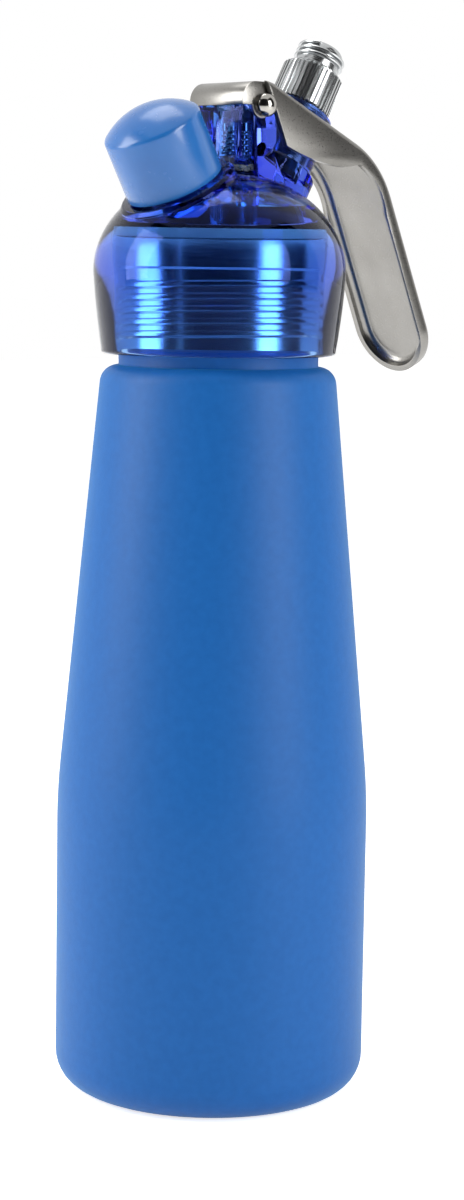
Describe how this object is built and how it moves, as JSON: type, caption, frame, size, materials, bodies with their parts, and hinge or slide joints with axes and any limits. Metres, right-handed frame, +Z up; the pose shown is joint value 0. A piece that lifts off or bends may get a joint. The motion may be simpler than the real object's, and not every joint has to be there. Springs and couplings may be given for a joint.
{
  "type": "whipped cream dispenser",
  "caption": "Hand-held whipped cream dispenser: coated metal bottle, translucent screw-on head, squeeze lever, capped nozzle and knurled charger port.",
  "frame": {"origin": "centre of the bottle's foot, on the surface it stands on", "axes": "+Z up along the bottle's axis, +X towards the lever's handle and charger port, -X towards the nozzle"},
  "size_m": [0.1083, 0.08, 0.2697],
  "materials": {
    "coated_aluminium": "soft-touch matte blue coating over spun aluminium",
    "gasket_silicone": "translucent white silicone",
    "head_polymer": "polished translucent blue polycarbonate",
    "satin_steel": "satin stainless steel",
    "polished_steel": "polished stainless steel",
    "seal_rubber": "black nitrile rubber",
    "spring_steel": "drawn stainless spring wire",
    "cap_plastic": "polished opaque blue plastic",
    "outlet_plastic": "moulded blue plastic",
    "turned_aluminium": "bright turned aluminium",
    "valve_brass": "turned brass"
  },
  "bodies": {
    "bottle": {"bottle": "coated_aluminium"},
    "seal": {"head_gasket": "gasket_silicone"},
    "head": {"head_shell": "head_polymer", "hinge_saddle": "satin_steel", "valve_seat": "satin_steel", "valve_guide": "polished_steel", "stem_o_ring": "seal_rubber", "valve_gland": "valve_brass", "valve_spring": "spring_steel", "nozzle_outlet": "outlet_plastic", "nozzle_seal": "seal_rubber", "charger_adapter": "turned_aluminium", "adapter_seal": "seal_rubber", "check_valve": "seal_rubber", "pin_carrier": "valve_brass", "piercing_pin": "polished_steel", "pin_filter": "valve_brass", "charger_seat_seal": "seal_rubber"},
    "cap": {"nozzle_cap": "cap_plastic"},
    "lever": {"lever": "satin_steel", "pivot_pin": "polished_steel", "valve_cam": "satin_steel"},
    "valve": {"valve_stem": "polished_steel", "poppet_seal": "seal_rubber", "poppet_nut": "satin_steel"}
  },
  "joints": [
    {"name": "head_rise", "type": "slide", "parent": "bottle", "child": "seal", "axis": [0, 0, 1], "range_m": [0, 0.0196]},
    {"name": "head_turn", "type": "hinge", "parent": "seal", "child": "head", "pos_m": [0, 0, 0.2], "axis": [0, 0, 1], "range_deg": [0, 2340]},
    {"name": "cap_pull", "type": "slide", "parent": "head", "child": "cap", "axis": [-0.4901, 0, 0.8716], "range_m": [0, 0.03]},
    {"name": "lever_squeeze", "type": "hinge", "parent": "head", "child": "lever", "pos_m": [0.0046, 0, 0.2519], "axis": [0, 1, 0], "range_deg": [0, 18], "stiffness_Nm_per_rad": 1.2, "springref_deg": -6.88},
    {"name": "valve_press", "type": "slide", "parent": "head", "child": "valve", "axis": [0, 0, -1], "range_m": [0, 0.001], "deforming": ["valve_spring"]}
  ],
  "couplings": [
    {"joint": "head_rise", "follows": "head_turn", "m_per_rad": 0.00047746},
    {"joint": "valve_press", "follows": "lever_squeeze", "m_per_rad": 0.003064}
  ]
}
